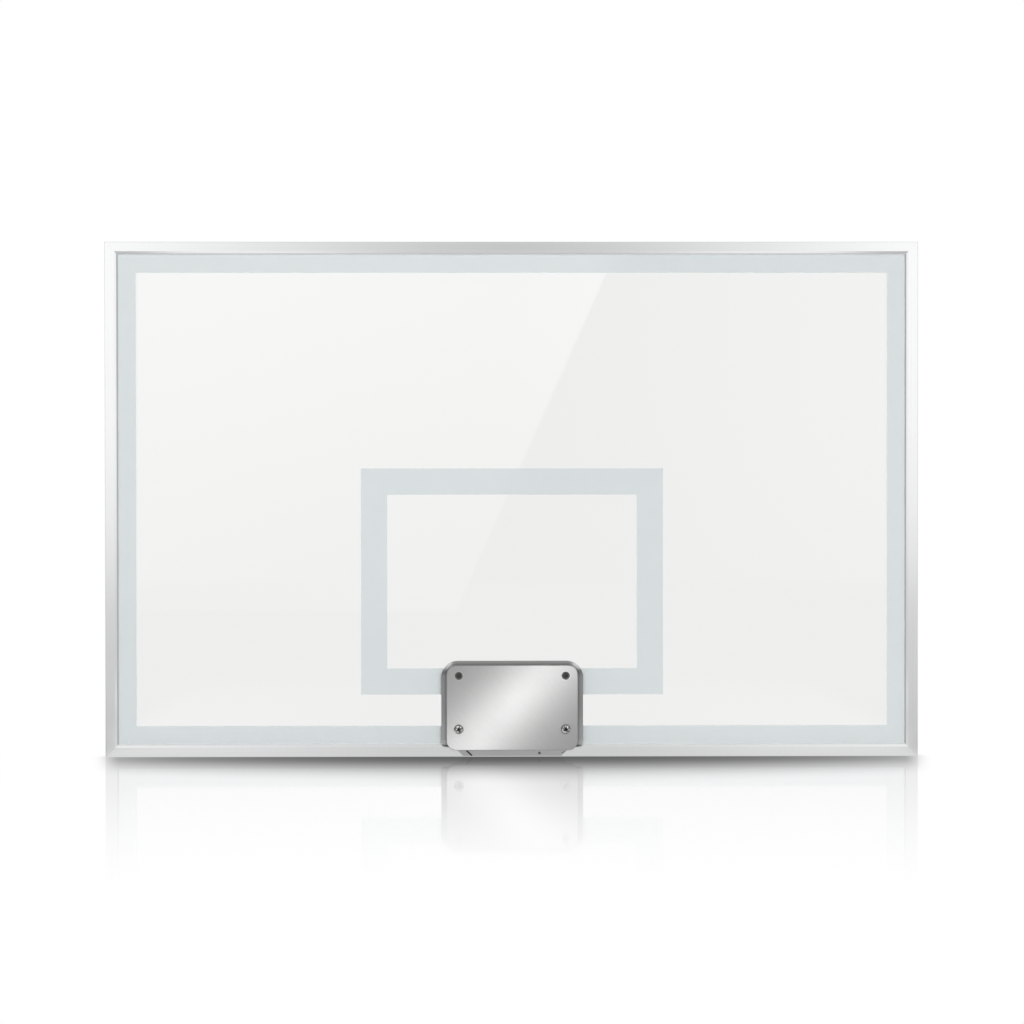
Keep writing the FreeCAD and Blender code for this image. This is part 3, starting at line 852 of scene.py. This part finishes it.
# %% Levels of the room
side_level = 0.07
ceiling_level = 0.50
front_level = 0.49
wing_glow = 0.87
screen_level = 0.62
screen_glow = 0.47
even_level = 0.45
floor_front_level = 0.72
room_middle = 0.009
print("even level", even_level)

# %% Where each level begins and ends, as parts of a direction
wing_span = (-0.047, 0.20)
wing_rise = (-0.145, 0.04)
screen_ring = (0.35, 0.75)
ceiling_rise = (0.3, 0.9)
front_turn = (-0.15, -0.42)
back_turn = (0.16, 0.68)
print("front of the room starts at", front_turn[0])

# %% World
room_bounces = 2.5


def by_way_of_floor(tree, straight_bounces):
    """1 where light bounces more often than on the straight way to the board, as by way of the floor."""
    bounces = Socket(tree, tree.nodes.new("ShaderNodeLightPath").outputs["Ray Depth"])
    return bounces > straight_bounces


def room_in_metal(place):
    """Level of the room in a mirror image, by direction."""
    x, y, z = split(place)
    wings = smooth(abs(x - room_middle), *wing_span) * smooth(z, *wing_rise)
    outside = smooth((x * x + z * z) ** 0.5, *screen_ring)
    middle = front_level + wing_glow * wings
    front = middle + (screen_level + screen_glow * wings - middle) * outside
    front = front + (floor_front_level - front) * by_way_of_floor(place.tree, room_bounces)
    side = side_level + (ceiling_level - side_level) * smooth(z, *ceiling_rise)
    return side + (front - side) * smooth(y, *front_turn) + (1 - side) * smooth(y, *back_turn)


def studio_world():
    world = bpy.data.worlds.new("studio")
    world.use_nodes = True
    world.node_tree.nodes.clear()
    coordinates = world.node_tree.nodes.new("ShaderNodeTexCoord")
    place = Socket(world.node_tree, coordinates.outputs["Generated"])
    camera_ray, glossy_ray, through_ray = rays(place, "Camera", "Glossy", "Transmission")
    white_ray = camera_ray.floor_at(through_ray)
    unseen = glossy_ray * room_in_metal(place) + (1 - glossy_ray) * even_level
    level = white_ray + (1 - white_ray) * unseen
    background = place.node("ShaderNodeBackground", inputs={"Color": grey(level)})
    background.node("ShaderNodeOutputWorld", inputs={"Surface": background})
    world.cycles.sampling_method = "NONE"
    return world


scene.world = studio_world()
print("world", scene.world.name, "has", len(scene.world.node_tree.nodes), "nodes")

# %% [markdown]
# ## The lamps
# Two large soft boxes stand left and right of the camera, above the board. They light the print and the
# floor, and are hidden from mirrors so that no bright square shows in metal or glass. Two more hang
# beside the board and catch the corners of the goal mount's bevel. One behind the board brightens the
# floor and the back.

# %% Soft boxes
front_place, front_size, front_watts = (1.0, -5.0, 1.6), (1.5, 2.0), 46.0
side_place, side_size, side_watts = (1.7, 0.6, 1.3), (1.5, 1.5), 11.0
back_place, back_size, back_watts = (0.0, 2.4, 2.2), (3.0, 1.0), 62.0
board_middle = (0.0, rail_front, 0.0)
before_foot = (0.0, -0.3, floor_height)


def soft_box(name, place, target, size, watts):
    lamp = bpy.data.lights.new(name, "AREA")
    lamp.shape = "RECTANGLE"
    lamp.size, lamp.size_y = size
    lamp.energy = watts
    box = bpy.data.objects.new(name, lamp)
    box.location = place
    box.rotation_euler = (Vector(target) - Vector(place)).to_track_quat("-Z", "Y").to_euler()
    box.visible_camera = False
    scene.collection.objects.link(box)
    print(name, "at", *place)
    return box


def to_side(place, sign):
    """A place on the right of the board, or its twin on the left."""
    return (sign * place[0], *place[1:])


for side, sign in (("left", -1), ("right", 1)):
    in_front, beside = to_side(front_place, sign), to_side(side_place, sign)
    front_box = soft_box(f"front_box_{side}", in_front, board_middle, front_size, front_watts)
    front_box.visible_glossy = False
    soft_box(f"side_box_{side}", beside, plate_middle, side_size, side_watts)
back_box = soft_box("back_box", back_place, before_foot, back_size, back_watts)
back_box.visible_glossy = False

# %% [markdown]
# The sheen on the goal plate comes from a small lamp that stands low in front of it, where a flat mirror
# would show it to the camera. Brushed lines draw its image out into a band at right angles to them. In
# the floor the plate is seen from below, as if by a second eye under the floor, and that eye has a lamp
# of its own. The number of bounces tells the two apart, and light linking keeps both off everything but
# the plate.

# %% Lamps that light only some pieces
def light_only(box, name, nodes):
    """Link a lamp to a few pieces, as a snoot would."""
    lit = bpy.data.collections.new(name)
    for node in nodes:
        lit.objects.link(frame["nodes"][node])
    box.light_linking.receiver_collection = lit
    print(box.name, "lights", *nodes)


def lamp_tree(box):
    """The node tree of a lamp, emptied."""
    box.data.use_nodes = True
    box.data.node_tree.nodes.clear()
    return box.data.node_tree


def glow(level):
    """Make a level the light of its lamp, as a share of the lamp's power."""
    light = level.node("ShaderNodeEmission", inputs={"Color": grey(level)})
    light.node("ShaderNodeOutputLight", inputs={"Surface": light})


print("lamp helpers ready")

# %% Sheen lamps
lamp_bounces = 1.5
sheen_reach = 0.75
sheen_watts = 0.81
sheen_size = (0.06, 0.06)
sheen_spot = plate_middle + Vector((-0.003, 0.0, 0.003))


def sheen_lamp(name, eye, in_floor):
    """A lamp that the plate shows to an eye, either directly or by way of the floor."""
    to_eye = (eye - sheen_spot).normalized()
    place = sheen_spot + Vector((-to_eye.x, to_eye.y, -to_eye.z)) * sheen_reach
    lamp = soft_box(name, place, sheen_spot, sheen_size, sheen_watts)
    light_only(lamp, f"lit_by_{name}", ["goal_plate"])
    lamp.data.cycles.use_multiple_importance_sampling = False
    mirrored = by_way_of_floor(lamp_tree(lamp), lamp_bounces)
    glow(mirrored if in_floor else 1 - mirrored)


floor_eye = Vector((camera.location.x, camera.location.y, 2 * floor_height - camera.location.z))
sheen_lamp("sheen_lamp", camera.location, in_floor=False)
sheen_lamp("floor_sheen_lamp", floor_eye, in_floor=True)

# %% [markdown]
# ## The slanted reflection
# A big white screen leans behind the camera on the left. The glass mirrors its edge as a slanted line
# with a brighter pane on its left. It could be painted on the glass, but then it would stay there in
# every view. So it is a square lamp, linked to the glass and its print alone, because metal would mirror
# it too. Its edge is set out on the glass and carried through the mirror to where the screen stands. It
# fades towards its foot.

# %% Where the screen's edge lies
edge_top_px = (614.0, 255.0)
edge_foot_px = (430.0, 668.0)
board_middle_px = (511.35, 499.6)
px_in_metre = 533.7
screen_behind_camera = 0.6
glass_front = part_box("glass_pane")[0].y


def mirrored_spot(px):
    """The place on the screen that the glass mirrors at a pixel of the picture."""
    spot = Vector((px[0] - board_middle_px[0], 0.0, board_middle_px[1] - px[1])) / px_in_metre
    eye = Vector((camera.location.x, 0.0, camera.location.z))
    to_glass = glass_front - camera.location.y
    stretch = (2 * to_glass + screen_behind_camera) / to_glass
    place = eye + (spot - eye) * stretch
    place.y = camera.location.y - screen_behind_camera
    return place


edge_top = mirrored_spot(edge_top_px)
edge_foot = mirrored_spot(edge_foot_px)
print("screen edge from", *edge_top, "to", *edge_foot)

# %% Leaning screen
screen_size = 4.0
pane_glow = 1.12
edge_way = (edge_top - edge_foot).normalized()
across_edge = Vector((edge_way.z, 0.0, -edge_way.x))
screen_middle = (edge_top + edge_foot) / 2 - across_edge * screen_size / 2
screen_watts = pane_glow * math.pi * screen_size ** 2
facing = screen_middle + Vector((0.0, 1.0, 0.0))
screen = soft_box("leaning_screen", screen_middle, facing, (screen_size, screen_size), screen_watts)
screen.rotation_euler.rotate_axis("Z", -math.atan2(edge_way.x, edge_way.z))
screen.visible_diffuse = False
screen.visible_transmission = False
light_only(screen, "glazing", ["glass_pane", "border_marking", "target_marking"])

# %% Screen that fades towards its foot
screen_foot_share = 0.2
fade_span = (0.25, 0.75)
screen_tree = lamp_tree(screen)
on_screen = Socket(screen_tree, screen_tree.nodes.new("ShaderNodeNewGeometry").outputs["Parametric"])
up_screen = split(on_screen)[1]
glow(screen_foot_share + (1 - screen_foot_share) * smooth(up_screen, *fade_span))
print("screen's foot gives", screen_foot_share, "of its light")

# %% [markdown]
